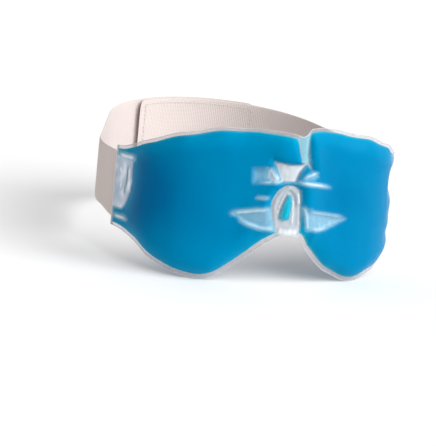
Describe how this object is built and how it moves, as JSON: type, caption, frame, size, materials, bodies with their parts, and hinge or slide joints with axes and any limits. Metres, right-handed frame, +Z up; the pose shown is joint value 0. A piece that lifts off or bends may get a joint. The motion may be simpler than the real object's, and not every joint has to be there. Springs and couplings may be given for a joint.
{
  "type": "gel eye pillow",
  "caption": "Gel-filled eye pillow of clear welded sheets with a nose arch, worn on a fabric strap that closes behind the head with a hook patch.",
  "frame": {"origin": "middle of the head opening, at the height of the eyes' upper third, halfway from the nose to the back of the strap", "axes": "+Z up, -Y the way the wearer looks, +X the wearer's left"},
  "size_m": [0.1886, 0.2159, 0.0942],
  "materials": {
    "clear_vinyl": "clear glossy",
    "blue_gel": "wet gloss under clear vinyl",
    "strap_fabric": "woven webbing",
    "loop_tape": "brushed loops",
    "hook_tape": "fine stiff hooks",
    "thread": "matt thread"
  },
  "bodies": {
    "pillow": {"front_sheet": "clear_vinyl", "back_sheet": "clear_vinyl", "gel_fill": "blue_gel", "strap_left_anchor": "strap_fabric", "strap_right_anchor": "strap_fabric"},
    "left_strap": {"strap_left": "strap_fabric", "loop_patch": "loop_tape", "loop_stitching": "thread"},
    "right_strap": {"strap_right": "strap_fabric"},
    "strap_end": {"strap_tip": "strap_fabric", "hook_patch": "hook_tape", "hook_stitching": "thread"}
  },
  "joints": [
    {"name": "right_strap_swing", "type": "hinge", "parent": "pillow", "child": "right_strap", "pos_m": [-0.08969, -0.03248, 0], "axis": [0, 0, 1], "range_deg": [0, 75]},
    {"name": "left_strap_swing", "type": "hinge", "parent": "pillow", "child": "left_strap", "pos_m": [0.08969, -0.03248, 0], "axis": [0, 0, 1], "range_deg": [0, 30]},
    {"name": "closure_peel", "type": "hinge", "parent": "right_strap", "child": "strap_end", "pos_m": [-0.01195, 0.10515, 0], "axis": [0, 0, 1], "range_deg": [0, 110]}
  ]
}
